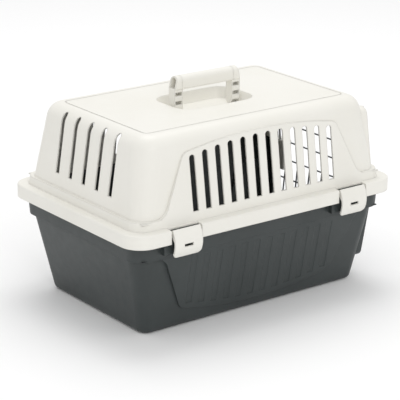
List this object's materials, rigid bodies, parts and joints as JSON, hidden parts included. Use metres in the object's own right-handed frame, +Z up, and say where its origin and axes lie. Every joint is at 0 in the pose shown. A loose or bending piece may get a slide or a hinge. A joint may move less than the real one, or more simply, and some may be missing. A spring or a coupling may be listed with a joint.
{
  "type": "pet carrier",
  "caption": "Small pet carrier: dark tray, vented ivory roof shell, wire door with a sprung latch, side clips and a folding carry handle.",
  "frame": {"origin": "on the floor below the middle of the carrier", "axes": "+X out of the door end, +Y towards the carrier's left side seen from behind the door end, +Z up"},
  "size_m": [0.48, 0.3352, 0.331],
  "materials": {
    "ivory_plastic": "satin moulded polypropylene, ivory",
    "dark_plastic": "satin moulded polypropylene, dark slate",
    "wire_steel": "drawn and welded steel wire, zinc coated",
    "spring_steel": "bright spring wire"
  },
  "bodies": {
    "tray": {"tray": "dark_plastic"},
    "roof": {"roof_shell": "ivory_plastic"},
    "door": {"door_hinge_rod": "wire_steel", "door_frame_wire": "wire_steel", "door_upright_wires": "wire_steel", "door_cross_wires": "wire_steel", "latch_front_cover": "ivory_plastic", "latch_back_cover": "ivory_plastic", "latch_spring": "spring_steel", "upper_bolt_guide": "ivory_plastic", "lower_bolt_guide": "ivory_plastic"},
    "upper_bolt": {"upper_latch_tab": "ivory_plastic", "upper_latch_bolt": "wire_steel"},
    "lower_bolt": {"lower_latch_tab": "ivory_plastic", "lower_latch_bolt": "wire_steel"},
    "handle": {"handle": "ivory_plastic"},
    "clip_front_left": {"clip_front_left": "ivory_plastic"},
    "clip_front_right": {"clip_front_right": "ivory_plastic"},
    "clip_rear_left": {"clip_rear_left": "ivory_plastic"},
    "clip_rear_right": {"clip_rear_right": "ivory_plastic"}
  },
  "joints": [
    {"name": "roof_lift", "type": "slide", "parent": "tray", "child": "roof", "axis": [0, 0, 1], "range_m": [0, 0.12]},
    {"name": "door_swing", "type": "hinge", "parent": "tray", "child": "door", "pos_m": [0.224, -0.095, 0.15], "axis": [0, 0, 1], "range_deg": [-100, 0]},
    {"name": "upper_bolt_slide", "type": "slide", "parent": "door", "child": "upper_bolt", "axis": [-0.0946, 0, 0.9955], "range_m": [0, 0.005], "stiffness_N_per_m": 120, "springref_m": 0.005, "deforming": ["latch_spring"]},
    {"name": "lower_bolt_slide", "type": "slide", "parent": "door", "child": "lower_bolt", "axis": [-0.1123, 0, -0.9937], "range_m": [0, 0.005], "stiffness_N_per_m": 120, "springref_m": 0.005},
    {"name": "handle_fold", "type": "hinge", "parent": "roof", "child": "handle", "pos_m": [0, 0, 0.282], "axis": [1, 0, 0], "range_deg": [-64, 64]},
    {"name": "clip_front_left_hinge", "type": "hinge", "parent": "roof", "child": "clip_front_left", "pos_m": [0.152, 0.1575, 0.1595], "axis": [1, 0, 0], "range_deg": [-5, 75]},
    {"name": "clip_front_right_hinge", "type": "hinge", "parent": "roof", "child": "clip_front_right", "pos_m": [0.152, -0.1575, 0.1595], "axis": [-1, 0, 0], "range_deg": [-5, 75]},
    {"name": "clip_rear_left_hinge", "type": "hinge", "parent": "roof", "child": "clip_rear_left", "pos_m": [-0.152, 0.1575, 0.1595], "axis": [1, 0, 0], "range_deg": [-5, 75]},
    {"name": "clip_rear_right_hinge", "type": "hinge", "parent": "roof", "child": "clip_rear_right", "pos_m": [-0.152, -0.1575, 0.1595], "axis": [-1, 0, 0], "range_deg": [-5, 75]}
  ],
  "couplings": [
    {"joint": "lower_bolt_slide", "follows": "upper_bolt_slide", "ratio": 1}
  ]
}
